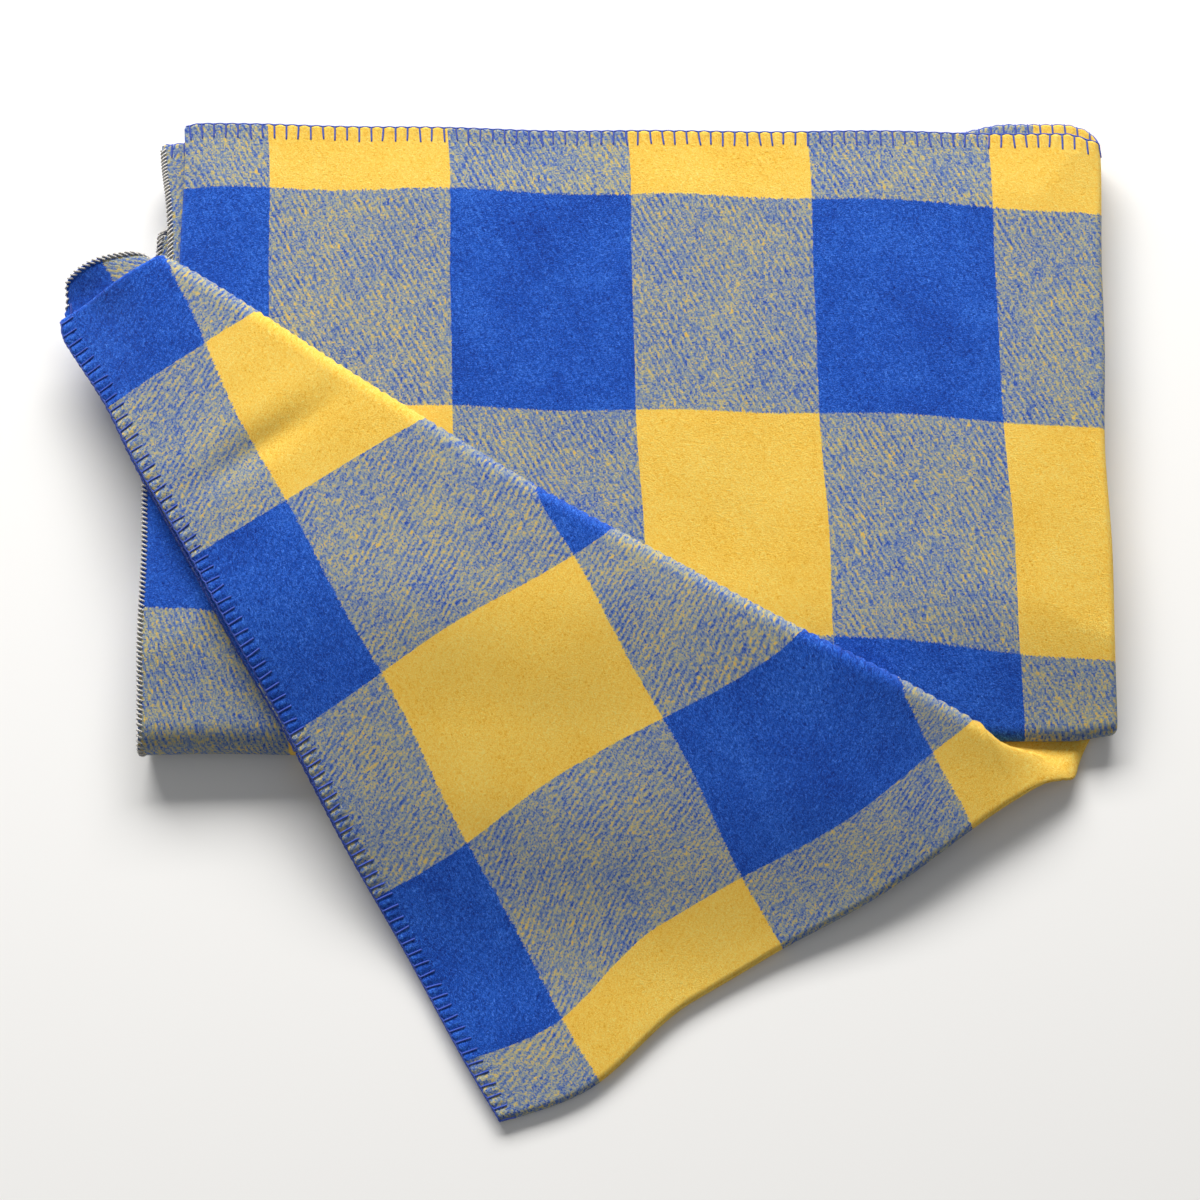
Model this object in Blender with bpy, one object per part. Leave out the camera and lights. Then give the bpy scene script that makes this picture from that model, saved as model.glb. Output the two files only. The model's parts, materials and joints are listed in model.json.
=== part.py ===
"""Camp blanket of napped wool, folded up, with one corner of the top panel turned back.

The cloth is folded in thirds across its width, so that every panel is three layers thick, and then in
four along its length. From the ground up the panels are lower, middle, upper and top. The top panel is
turned back along a diagonal crease: its corner is the flap, and what hangs past the front of the stack
is the tail. Metres, +Z up, origin on the ground in the middle of the blanket's box.
"""
import math

import bmesh
import bpy
from mathutils import Vector

# Cloth
PLY = 0.003  # one layer of cloth with its nap
GAP = 0.0003  # left between surfaces that touch

# Folded stack, seen from above: X from its left fold, Y from its front fold
STRIP_WIDTH = 0.620  # the cloth folded in thirds
STACK_DEPTH = 0.427  # front fold to the stitched end of the upper panel
BACK_FOLD_SETBACK = 0.004  # how far the back fold stays short of that end
PLY_PEEK = 0.008  # how far the outermost layer's free edge shows past the left fold
PLY_TUCK = 0.012  # how far the inner layer's free edge stays short of the right fold

# Top panel, laid a little to the left of the others
TOP_LEFT = -0.0165
TOP_RIGHT = 0.583
TOP_DEPTH = 0.392  # front fold to its stitched end, with the flap laid flat

# Diagonal crease: where it meets the front fold line, and how it leans
CREASE_FOOT_X = 0.536
CREASE_LEAN = math.radians(30.3)

# Yarn
STITCH_PITCH = 0.0082
STITCH_DEPTH = 0.010
YARN = 0.0014
OVERLOCK = 0.003

ARC_STEPS = 10
CLOTH_COLOUR = (0.16, 0.20, 0.30)
YARN_COLOUR = (0.07, 0.06, 0.27)
WOOL_ROUGHNESS = 0.95

PANEL = 3 * PLY + 2 * GAP  # three layers
FOLD_LINE_Y = 2 * PANEL + 1.5 * GAP  # where the panels end and the front folds begin
BACK_LINE_Y = STACK_DEPTH - BACK_FOLD_SETBACK - PANEL - GAP / 2
FLAP_BASE = 4 * (PANEL + GAP)  # underside of the flap
HINGE_Z = FLAP_BASE - GAP / 2
CREASE_FOOT = Vector((CREASE_FOOT_X, 0))
CREASE_DIRECTION = Vector((math.cos(CREASE_LEAN), -math.sin(CREASE_LEAN)))
CREASE_NORMAL = Vector((math.sin(CREASE_LEAN), math.cos(CREASE_LEAN)))  # towards the corner that is turned


def clear_scene():
    for old in list(bpy.data.objects):
        bpy.data.objects.remove(old, do_unlink=True)


def wool(name, colour):
    material = bpy.data.materials.new(name)
    material.use_nodes = True
    shader = material.node_tree.nodes["Principled BSDF"]
    shader.inputs["Base Color"].default_value = (*colour, 1)
    shader.inputs["Roughness"].default_value = WOOL_ROUGHNESS
    shader.inputs["Metallic"].default_value = 0
    return material


def empty(name, place, parent=None):
    guide = bpy.data.objects.new(name, None)
    guide.location = place
    guide.parent = parent
    bpy.context.scene.collection.objects.link(guide)
    return guide


def extrude(name, outline, axis, start, end, parent, colour, origin=(0, 0, 0)):
    """A solid named name: a closed outline in the plane across axis, pulled along it from start to end.

    The outline's points are (y, z), (x, z) or (x, y), in the order of the axes that are left, in the
    stack's frame. origin is where the parent lies in that frame.
    """
    place = {
        "X": lambda p, q: (start, p, q),
        "Y": lambda p, q: (p, start, q),
        "Z": lambda p, q: (p, q, start),
    }[axis]
    pull = Vector([end - start if axis == letter else 0 for letter in "XYZ"])
    shape = bmesh.new()
    cap = shape.faces.new([shape.verts.new(Vector(place(p, q)) - Vector(origin)) for p, q in outline])
    pulled = bmesh.ops.extrude_face_region(shape, geom=[cap], use_keep_orig=True)["geom"]
    bmesh.ops.translate(shape, vec=pull, verts=[v for v in pulled if isinstance(v, bmesh.types.BMVert)])
    bmesh.ops.recalc_face_normals(shape, faces=shape.faces)
    bmesh.ops.triangulate(shape, faces=shape.faces, ngon_method="EAR_CLIP")
    mesh = bpy.data.meshes.new(name)
    shape.to_mesh(mesh)
    shape.free()
    mesh.materials.append(wool(name, colour))
    solid = bpy.data.objects.new(name, mesh)
    solid.parent = parent
    bpy.context.scene.collection.objects.link(solid)
    return solid


def arc(centre, radius, first, last):
    """Points on an arc, from angle first to angle last in degrees."""
    angles = [math.radians(first + (last - first) * i / ARC_STEPS) for i in range(ARC_STEPS + 1)]
    return [(centre[0] + radius * math.cos(a), centre[1] + radius * math.sin(a)) for a in angles]


def letter_fold(base, free_edge_on_top):
    """Section of a panel: the middle third joins the inner third at the left and the outer third at the right."""
    left_radius = PLY + GAP / 2
    left = (left_radius, 2 * PLY + 1.5 * GAP)
    right = (STRIP_WIDTH - PANEL / 2, PANEL / 2)
    tuck_x = STRIP_WIDTH - PLY_TUCK
    section = [(-PLY_PEEK, 0)]
    section += arc(right, PANEL / 2, -90, 90)
    section += arc(left, left_radius, 90, 270)
    section += [(tuck_x, PLY + GAP), (tuck_x, 2 * PLY + GAP)]
    section += arc(left, GAP / 2, 270, 90)
    section += arc(right, PANEL / 2 - PLY, 90, -90)
    section += [(-PLY_PEEK, PLY)]
    if free_edge_on_top:
        section = [(x, PANEL - z) for x, z in section]
    return [(x, base + z) for x, z in section]


def fold_section(line_y, centre_z, inner, facing):
    """Section of a bend of one panel's thickness, facing 1 to the back or -1 to the front."""
    outer_arc = arc((0, 0), inner + PANEL, -90, 90)
    inner_arc = arc((0, 0), inner, 90, -90)
    return [(line_y + facing * y, centre_z + z) for y, z in outer_arc + inner_arc]


def clip(outline, point, outward):
    """The part of a convex outline on the inner side of the line through point."""
    kept = []
    for here, there in zip(outline, outline[1:] + outline[:1]):
        depth_here = (here - point).dot(outward)
        depth_there = (there - point).dot(outward)
        if depth_here <= 0:
            kept.append(here)
        if depth_here * depth_there < 0:
            kept.append(here.lerp(there, depth_here / (depth_here - depth_there)))
    return kept


def turned(point):
    """A point of the top panel after its corner is turned over the crease."""
    return point - 2 * (point - CREASE_FOOT).dot(CREASE_NORMAL) * CREASE_NORMAL


def comb(start, end, inward):
    """Outline of blanket stitch along an edge: a yarn that follows it just outside, and legs laid inward."""
    along = (end - start).normalized()
    length = (end - start).length
    count = int(length / STITCH_PITCH)
    first = (length - (count - 1) * STITCH_PITCH) / 2
    outline = [start - inward * (GAP + YARN), start - inward * GAP]
    for i in range(count):
        middle = start + along * (first + i * STITCH_PITCH)
        for side, reach in ((-1, -GAP), (-1, STITCH_DEPTH), (1, STITCH_DEPTH), (1, -GAP)):
            outline.append(middle + along * side * YARN / 2 + inward * reach)
    outline += [end - inward * GAP, end - inward * (GAP + YARN)]
    return outline


def bar(start, end, outward, width):
    """Outline of a straight bar just outside an edge."""
    return [start + outward * GAP, end + outward * GAP, end + outward * (GAP + width), start + outward * (GAP + width)]


def folded_panels(stack):
    """The three panels that stay flat, their bends, and the overlock on their free edges."""
    panel_back = {"lower": BACK_LINE_Y, "middle": BACK_LINE_Y, "upper": STACK_DEPTH}
    for level, (name, back) in enumerate(panel_back.items()):
        base = level * (PANEL + GAP)
        edge_on_top = name == "middle"  # every fold of the stack turns the panel over
        free_z = base + (PANEL - PLY if edge_on_top else 0)
        tucked_z = base + PLY + GAP
        front, rear = FOLD_LINE_Y + GAP / 2, back - GAP / 2
        extrude(f"{name}_panel", letter_fold(base, edge_on_top), "Y", front, rear, stack, CLOTH_COLOUR)
        free_x = -PLY_PEEK - GAP - OVERLOCK
        tucked_x = STRIP_WIDTH - PLY_TUCK + GAP
        for kind, x, z in (("side", free_x, free_z), ("tucked", tucked_x, tucked_z)):
            section = [(x, z), (x + OVERLOCK, z), (x + OVERLOCK, z + PLY), (x, z + PLY)]
            extrude(f"{kind}_overlock_{name}", section, "Y", front, rear, stack, YARN_COLOUR)

    back_fold = fold_section(BACK_LINE_Y, PANEL + GAP / 2, GAP / 2, 1)
    extrude("back_fold", back_fold, "X", 0, STRIP_WIDTH, stack, CLOTH_COLOUR)
    inner_fold = fold_section(FOLD_LINE_Y, FOLD_LINE_Y, GAP / 2, -1)
    extrude("inner_front_fold", inner_fold, "X", 0, STRIP_WIDTH, stack, CLOTH_COLOUR)
    outer_fold = fold_section(FOLD_LINE_Y, FOLD_LINE_Y, PANEL + 1.5 * GAP, -1)
    fold_end = CREASE_FOOT_X - FOLD_LINE_Y / math.tan(CREASE_LEAN)
    extrude("outer_front_fold", outer_fold, "X", TOP_LEFT, fold_end, stack, CLOTH_COLOUR)

    end_y = STACK_DEPTH - GAP / 2
    upper_end = comb(Vector((STRIP_WIDTH - PANEL / 2, end_y)), Vector((PLY, end_y)), Vector((0, -1)))
    yarn_base = 3 * PANEL + 2 * GAP + GAP
    # The yarn lies in the gap's depth above the cloth
    extrude("end_stitching_upper", upper_end, "Z", yarn_base, yarn_base + YARN, stack, YARN_COLOUR)


def top_panel(stack):
    """What stays flat of the top panel, up to the diagonal crease."""
    base = 3 * (PANEL + GAP)
    front = FOLD_LINE_Y + GAP / 2
    outline = [Vector(p) for p in ((TOP_LEFT, front), (TOP_RIGHT, front), (TOP_RIGHT, TOP_DEPTH), (TOP_LEFT, TOP_DEPTH))]
    outline = clip(outline, CREASE_FOOT - CREASE_NORMAL * GAP / 2, CREASE_NORMAL)
    extrude("top_panel", outline, "Z", base, base + PANEL, stack, CLOTH_COLOUR)
    left_end = max(p.y for p in outline if abs(p.x - TOP_LEFT) < GAP)
    overlock = bar(Vector((TOP_LEFT, front)), Vector((TOP_LEFT, left_end)), Vector((-1, 0)), OVERLOCK)
    extrude("side_overlock_top", overlock, "Z", base + PANEL - PLY, base + PANEL, stack, YARN_COLOUR)


def turned_corner(stack):
    """The flap on its hinge along the crease, and the tail on a hinge along the front of the stack."""
    corners = ((TOP_LEFT, 0), (TOP_RIGHT, 0), (TOP_RIGHT, TOP_DEPTH), (TOP_LEFT, TOP_DEPTH))
    flat = clip([Vector(p) for p in corners], CREASE_FOOT + CREASE_NORMAL * GAP / 2, -CREASE_NORMAL)
    corner = [turned(p) for p in flat]
    front_line = Vector((0, 0))
    flap = clip(corner, front_line, Vector((0, -1)))
    tail = clip(corner, front_line - Vector((0, GAP)), Vector((0, 1)))

    # The stitched end and the side with the free edge, which meet at the flap's outer corner
    outer = turned(Vector((TOP_LEFT, TOP_DEPTH)))
    tip = turned(Vector((TOP_RIGHT, TOP_DEPTH)))
    inward = (turned(Vector((TOP_LEFT, 0))) - outer).normalized()
    share = outer.y / (outer.y - tip.y)
    meeting = outer.lerp(tip, share)
    step = (tip - outer).normalized() * PLY

    crease_axis = (*CREASE_FOOT, HINGE_Z)
    hinge = empty("corner_fold_axis", crease_axis, stack)
    top = FLAP_BASE + PANEL
    extrude("corner_flap", flap, "Z", FLAP_BASE, top, hinge, CLOTH_COLOUR, crease_axis)
    stitching = comb(outer + step, meeting - step, inward)
    extrude("end_stitching_flap", stitching, "Z", top + GAP, top + GAP + YARN, hinge, YARN_COLOUR, crease_axis)
    crease_end = max(flap, key=lambda p: (p - outer).length if (p - outer).cross(inward) ** 2 < GAP**2 else 0)
    overlock = bar(outer, crease_end, (outer - tip).normalized(), OVERLOCK)
    extrude("side_overlock_flap", overlock, "Z", FLAP_BASE, FLAP_BASE + PLY, hinge, YARN_COLOUR, crease_axis)

    drape_axis = (0, 0, FLAP_BASE)
    drape = empty("drape_fold_axis", Vector(drape_axis) - Vector(crease_axis), hinge)
    reach = -min(p.y for p in tail)
    drape.rotation_euler = (math.asin((FLAP_BASE - GAP) / reach), 0, 0)
    extrude("flap_tail", tail, "Z", FLAP_BASE, top, drape, CLOTH_COLOUR, drape_axis)
    stitching = comb(meeting + step, tip - step, inward)
    extrude("end_stitching_tail", stitching, "Z", top + GAP, top + GAP + YARN, drape, YARN_COLOUR, drape_axis)


def centre_on_ground(stack):
    """Moves the whole blanket so that the origin is under the middle of its box."""
    bpy.context.view_layer.update()
    solids = [ob for ob in bpy.context.scene.objects if ob.type == "MESH"]
    places = [ob.matrix_world @ v.co for ob in solids for v in ob.data.vertices]
    low = Vector([min(p[i] for p in places) for i in range(3)])
    high = Vector([max(p[i] for p in places) for i in range(3)])
    stack.location = (-(low.x + high.x) / 2, -(low.y + high.y) / 2, -low.z)
    bpy.context.view_layer.update()


clear_scene()
blanket = empty("blanket", (0, 0, 0))
folded_panels(blanket)
top_panel(blanket)
turned_corner(blanket)
centre_on_ground(blanket)
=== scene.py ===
"""Looks of the camp blanket: napped check wool folded in thirds, then in four, with a corner turned back.

Every piece is cut from one flat cloth. A point of it is (u, v): u runs across the cloth from one side edge
to the other, v along it from one stitched end to the other. place() says where (u, v) lies in the folded
blanket, and the pattern, the weave and the stitches all follow (u, v), so they turn with each fold.
In the blanket's own frame x runs from the left fold to the right one, y from the front folds to the back,
and z up from the ground; ORIGIN moves it to the CAD frame. Metres.
"""
import json
import math

import bmesh
import bpy
import numpy as np
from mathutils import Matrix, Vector


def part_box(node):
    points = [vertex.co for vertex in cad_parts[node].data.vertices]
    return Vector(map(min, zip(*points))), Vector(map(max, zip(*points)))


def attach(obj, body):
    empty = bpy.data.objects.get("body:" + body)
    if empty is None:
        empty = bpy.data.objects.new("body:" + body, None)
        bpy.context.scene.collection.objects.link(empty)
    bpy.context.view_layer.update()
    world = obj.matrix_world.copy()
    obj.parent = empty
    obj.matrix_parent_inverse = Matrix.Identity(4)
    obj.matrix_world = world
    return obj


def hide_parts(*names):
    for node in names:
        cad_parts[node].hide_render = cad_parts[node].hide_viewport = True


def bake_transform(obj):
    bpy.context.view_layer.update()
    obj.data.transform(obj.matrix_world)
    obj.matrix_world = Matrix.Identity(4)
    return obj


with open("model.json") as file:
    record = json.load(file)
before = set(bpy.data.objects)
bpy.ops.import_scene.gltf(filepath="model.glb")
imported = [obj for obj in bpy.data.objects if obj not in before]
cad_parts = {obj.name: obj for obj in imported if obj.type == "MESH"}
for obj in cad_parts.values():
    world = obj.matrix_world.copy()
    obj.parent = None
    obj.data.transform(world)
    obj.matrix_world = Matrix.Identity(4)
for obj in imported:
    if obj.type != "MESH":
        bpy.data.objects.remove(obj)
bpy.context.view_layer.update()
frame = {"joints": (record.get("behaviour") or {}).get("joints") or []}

# ---------------------------------------------------------------- the CAD frame

INNER_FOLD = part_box("inner_front_fold")
OUTER_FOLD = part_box("outer_front_fold")
BACK_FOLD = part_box("back_fold")
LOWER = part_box("lower_panel")
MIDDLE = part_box("middle_panel")
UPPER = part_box("upper_panel")
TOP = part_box("top_panel")
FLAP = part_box("corner_flap")
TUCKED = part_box("tucked_overlock_upper")
CREASE = next(j for j in frame["joints"] if j["name"] == "corner_fold")

ORIGIN = np.array([INNER_FOLD[0].x, OUTER_FOLD[0].y, 0.0])  # left fold, front fold, ground


def middle_height(box):
    return (box[0].z + box[1].z) / 2


PLY = 0.003
WIDTH = INNER_FOLD[1].x - INNER_FOLD[0].x
FOLD_Y = INNER_FOLD[1].y - ORIGIN[1]
END_Y = UPPER[1].y - ORIGIN[1]
BACK_Y = BACK_FOLD[0].y - ORIGIN[1]
Z_LOWER, Z_MIDDLE, Z_UPPER, Z_TOP = (middle_height(b) for b in (LOWER, MIDDLE, UPPER, TOP))
STEP = (UPPER[1].z - UPPER[0].z - PLY) / 2  # from one layer's middle to the next
PEEK = INNER_FOLD[0].x - UPPER[0].x
TUCK_X = TUCKED[0].x - ORIGIN[0]
FLAP_BASE = FLAP[0].z
HINGE = np.array(CREASE["pos_m"], float)
FOOT = (HINGE - ORIGIN)[:2]
CREASE_DIRECTION = -np.array(CREASE["axis"][:2], float)
CREASE_NORMAL = np.array([-CREASE_DIRECTION[1], CREASE_DIRECTION[0]])
ROLL = HINGE[2] - Z_TOP  # radius of the middle layer in the crease's roll
ROLL_SHIFT = math.pi * ROLL
# how far the cloth's own direction turns, seen from above, where the crease lays it back
LAID_BACK = math.pi - 2 * math.atan2(-CREASE_DIRECTION[1], CREASE_DIRECTION[0])

# ---------------------------------------------------------------- the cloth, folded in thirds

LEFT_RADIUS = STEP / 2
RIGHT_RADIUS = STEP
LEFT_X = LEFT_RADIUS + PLY / 2
RIGHT_X = WIDTH - RIGHT_RADIUS - PLY / 2
U_LEFT = TUCK_X - LEFT_X
U_FACE = U_LEFT + math.pi * LEFT_RADIUS
U_RIGHT = U_FACE + RIGHT_X - LEFT_X
U_BACK = U_RIGHT + math.pi * RIGHT_RADIUS
CLOTH_WIDTH = U_BACK + RIGHT_X + PEEK

# ---------------------------------------------------------------- then in four, along its length

R_INNER = (Z_UPPER - Z_MIDDLE) / 2
R_BACK = (Z_MIDDLE - Z_LOWER) / 2
R_OUTER = (Z_TOP - Z_LOWER) / 2
TOP_END_SEEN = 0.392  # where the stitched end would lie if the corner were folded flat, without a roll
TOP_END_Y = TOP_END_SEEN + ROLL_SHIFT * CREASE_NORMAL[1]
TOP_LEFT_FRONT, TOP_LEFT_END = -0.0145, -0.0095  # x of the top panel's folds, at the front and at its end
TOP_RIGHT_FRONT, TOP_RIGHT_END = 0.583, 0.591
V_FRONT = END_Y - FOLD_Y
V_MIDDLE = V_FRONT + math.pi * R_INNER
V_BACK = V_MIDDLE + BACK_Y - FOLD_Y
V_LOWER = V_BACK + math.pi * R_BACK
V_OUTER = V_LOWER + BACK_Y - FOLD_Y
V_TOP = V_OUTER + math.pi * R_OUTER
CLOTH_LENGTH = V_TOP + TOP_END_Y - FOLD_Y
TOP_LENGTH = CLOTH_LENGTH - V_TOP

# hem, stitches and overlock
STITCH_PITCH = 0.0082
STITCH_DEPTH = 0.0098
STITCH_UNEVEN, STITCH_LEAN = 0.07, 0.0006
YARN_RADIUS = 0.00062
OVERLOCK_PITCH, HIDDEN_PITCH = 0.0031, 0.0048
OVERLOCK_REACH, OVERLOCK_DEPTH, OVERLOCK_SLANT = 0.0019, 0.00185, 0.0014
OVERLOCK_RADIUS = 0.00072
OVERLOCK_END = 0.002
OVERLOCK_KIND = 1.0  # the blanket stitch's yarn is kind 0
EDGE_NOSE = 0.0016
HEM = 0.0135
HEM_SCALLOP = 0.0007
HEM_PUFF, HEM_PINCH = 0.0009, 0.0006

# the free side edge of the outermost layer, past the fold beside it
EDGE_OUT_AT_END = 0.008
EDGE_OUT_IN_LOWER = 0.010
EDGE_BACK_ON_TOP = 0.003
EDGE_OUT_AT_CORNER = 0.019
EDGE_ROUNDS_CORNER = 0.011

# the stitched end on the pile
END_SKEW = 0.0115
END_CORNER_RIGHT, END_CORNER_LEFT = 0.0055, 0.0015
END_CREEP, END_SHORT = 0.0090, 0.011  # the layer behind shows at the right and falls short at the left

# the stitched end of the laid-back corner
TOP_END_STAGGER = 0.0022
TOP_END_SHORT = 0.004
TOP_CORNER_OUT, TOP_CORNER_ROUND = 0.0085, 0.0035
SPREAD_OFF_PILE, SPREAD_AT_TUCK = 0.013, 0.006

# how the pile settles
PINCH_BACK, PINCH_FRONT = 0.005, 0.004
THINNED = 0.09
SUNK_LEFT, SUNK_MORE_RIGHT = 0.34, 0.22
WAVINESS = 0.03

# how the corner lies
CREASE_REACH = 0.62
ROLL_BOW = 0.005
BOW_FADE = 0.16
TUCK_SWELL = 0.25
DRAPE_START, DRAPE_REACH = 0.013, 0.17
OVERHANG_DROOP = 0.016
DENT_X, DENT_Y, DENT_DEPTH, DENT_RIDGE = 0.062, 0.199, 0.0030, 0.0012
DENT_ALONG = (0.812, 0.584)


def smooth(t):
    t = np.clip(t, 0, 1)
    return t * t * (3 - 2 * t)


def bump(t):
    """1 at 0, falling smoothly to 0 at -1 and 1."""
    return smooth(1 - np.abs(t))


def letter(u, peek):
    """Where u lies in the strip: x across it, and h above its middle layer."""
    to_left = np.clip((u - U_LEFT) / LEFT_RADIUS, 0, math.pi)
    to_right = np.clip((u - U_RIGHT) / RIGHT_RADIUS, 0, math.pi)
    along = (u - U_BACK) / (CLOTH_WIDTH - U_BACK)
    zones = [u < U_LEFT, u < U_FACE, u < U_RIGHT, u < U_BACK]
    x = np.select(
        zones,
        [
            TUCK_X - u,
            LEFT_X - LEFT_RADIUS * np.sin(to_left),
            LEFT_X + u - U_FACE,
            RIGHT_X + RIGHT_RADIUS * np.sin(to_right),
        ],
        RIGHT_X - along * (RIGHT_X + peek),
    )
    h = np.select(
        zones,
        [
            0 * u,
            LEFT_RADIUS - LEFT_RADIUS * np.cos(to_left),
            STEP + 0 * u,
            RIGHT_RADIUS * np.cos(to_right),
        ],
        -STEP,
    )
    return x, h


def path(v):
    """The strip's middle layer seen from the side: y, z, and its normal's y and z."""
    a = np.clip((v - V_FRONT) / R_INNER, 0, math.pi)
    b = np.clip((v - V_BACK) / R_BACK, 0, math.pi)
    c = np.clip((v - V_OUTER) / R_OUTER, 0, math.pi)
    z_a, z_b, z_c = (Z_UPPER + Z_MIDDLE) / 2, (Z_MIDDLE + Z_LOWER) / 2, (Z_LOWER + Z_TOP) / 2
    zones = [v < V_FRONT, v < V_MIDDLE, v < V_BACK, v < V_LOWER, v < V_OUTER, v < V_TOP]
    y = np.select(
        zones,
        [
            END_Y - v,
            FOLD_Y - R_INNER * np.sin(a),
            FOLD_Y + v - V_MIDDLE,
            BACK_Y + R_BACK * np.sin(b),
            BACK_Y - (v - V_LOWER),
            FOLD_Y - R_OUTER * np.sin(c),
        ],
        FOLD_Y + v - V_TOP,
    )
    z = np.select(
        zones,
        [
            Z_UPPER + 0 * v,
            z_a + R_INNER * np.cos(a),
            Z_MIDDLE + 0 * v,
            z_b + R_BACK * np.cos(b),
            Z_LOWER + 0 * v,
            z_c - R_OUTER * np.cos(c),
        ],
        Z_TOP,
    )
    ty = np.select(zones, [-1 + 0 * v, -np.cos(a), 1 + 0 * v, np.cos(b), -1 + 0 * v, -np.cos(c)], 1)
    tz = np.select(zones, [0 * v, -np.sin(a), 0 * v, -np.sin(b), 0 * v, np.sin(c)], 0)
    return y, z, tz, -ty


def free_edge(v):
    """How far the outermost layer's free edge shows past the left fold, along the cloth."""
    at_end = EDGE_OUT_AT_END * (1 - smooth(v / 0.09))
    below = v - V_LOWER
    in_lower = EDGE_OUT_IN_LOWER * smooth((below - 0.046) / 0.007) * (1 - smooth((below - 0.09) / 0.09))
    in_top = smooth((v - V_OUTER) / (V_TOP - V_OUTER))
    g = (v - V_TOP) / TOP_LENGTH
    corner = EDGE_OUT_AT_CORNER * bump((g - 0.93) / 0.15) - EDGE_ROUNDS_CORNER * smooth((g - 0.955) / 0.045)
    return PEEK + at_end + in_lower + in_top * (-EDGE_BACK_ON_TOP + corner)


def on_top(x, v):
    """x in the top panel, which lies a little to the left of the others and slightly askew."""
    g = np.clip((v - V_TOP) / TOP_LENGTH, 0, 1.05)
    left = TOP_LEFT_FRONT + (TOP_LEFT_END - TOP_LEFT_FRONT) * g
    right = TOP_RIGHT_FRONT + (TOP_RIGHT_END - TOP_RIGHT_FRONT) * g
    return left + x * (right - left) / WIDTH


def roll_bow(d):
    """The crease isn't quite straight: it sags towards the flap's side in the middle."""
    return ROLL_BOW * (1 - 2 * np.sin(math.pi * np.clip(-d / CREASE_REACH, 0, 1)))


def crease_side(x, y):
    """Distance past the crease, in the top panel laid flat, and distance along it."""
    dx, dy = x - FOOT[0], y - FOOT[1]
    d = dx * CREASE_DIRECTION[0] + dy * CREASE_DIRECTION[1]
    s = dx * CREASE_NORMAL[0] + dy * CREASE_NORMAL[1]
    return s - roll_bow(d), d


def turn_corner(x, y, h):
    """The top panel's corner rolled over the crease. h is depth below the panel's middle layer."""
    s, d = crease_side(x, y)
    bow = roll_bow(d)
    phi = np.clip(s / ROLL, 0, math.pi)
    radius = ROLL + h
    over = np.maximum(s - ROLL_SHIFT, 0)
    fade = 1 - smooth(over / BOW_FADE)
    moved = np.where(s <= 0, s, radius * np.sin(phi) - over) + bow * np.where(over > 0, 2 * fade - 1, 1)
    px = FOOT[0] + d * CREASE_DIRECTION[0] + moved * CREASE_NORMAL[0]
    py = FOOT[1] + d * CREASE_DIRECTION[1] + moved * CREASE_NORMAL[1]
    return px, py, HINGE[2] - radius * np.cos(phi), (1 - np.cos(phi)) / 2


def waves(x, y):
    """A low, uneven swell, about 1 high."""
    slow = np.sin(9.1 * x + 14.3 * y + 0.4) + 0.7 * np.sin(-17 * x + 11 * y + 1.9)
    slow = slow + 0.5 * np.sin(23 * x + 19 * y + 3.1)
    quick = np.sin(61 * x - 38 * y + 0.7) + np.sin(33 * x + 67 * y + 2.2)
    return slow / 2.2 + 0.16 * quick


def settle(p, turned):
    """The pile sinks towards its edges, the flap falls off it, and nothing lies quite flat."""
    x, y, z = p[..., 0], p[..., 1], p[..., 2]
    inside = np.minimum(np.minimum(x + 0.012, WIDTH - x), np.minimum(y, END_Y - y))
    thin = THINNED * (1 - smooth(inside / 0.055))
    sunk = (SUNK_LEFT + SUNK_MORE_RIGHT * smooth((x - 0.44) / 0.12)) * (1 - smooth((y + 0.020) / 0.130))
    held = 1 + WAVINESS * waves(x, y) - np.maximum(thin, sunk)
    z = z * held
    front = np.clip((DRAPE_START - y) / DRAPE_REACH, 0, 1)
    fall = FLAP_BASE * 0.5 * (1 - np.cos(math.pi * front))
    off_crease = smooth((-crease_side(x, y)[0] - 0.004) / 0.045)
    droop = OVERHANG_DROOP * smooth((-0.004 - x) / 0.075) * (1 - fall / FLAP_BASE) * off_crease
    z = z - turned * (fall * held + droop) * 0.985
    # a shallow dent in the flap, with a ridge beside it
    ax, ay = x - DENT_X, y - DENT_Y
    along = ax * DENT_ALONG[0] + ay * DENT_ALONG[1]
    beside = -ax * DENT_ALONG[1] + ay * DENT_ALONG[0]
    dent = np.exp(-((beside / 0.010) ** 2)) * np.exp(-((along / 0.045) ** 2))
    ridge = np.exp(-(((beside - 0.020) / 0.013) ** 2)) * np.exp(-((along / 0.055) ** 2))
    z = z - turned * (DENT_DEPTH * dent - DENT_RIDGE * ridge)
    # folds lean a little in and out
    x = x + 0.0012 * np.sin(19 * y + 0.6) + 0.0007 * np.sin(47 * y + 1.3)
    y = y + 0.0010 * np.sin(14 * x + 0.9) + 0.0005 * np.sin(43 * x + 0.2)
    return np.stack([x, y, np.maximum(z, 0.0002)], -1)


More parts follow.
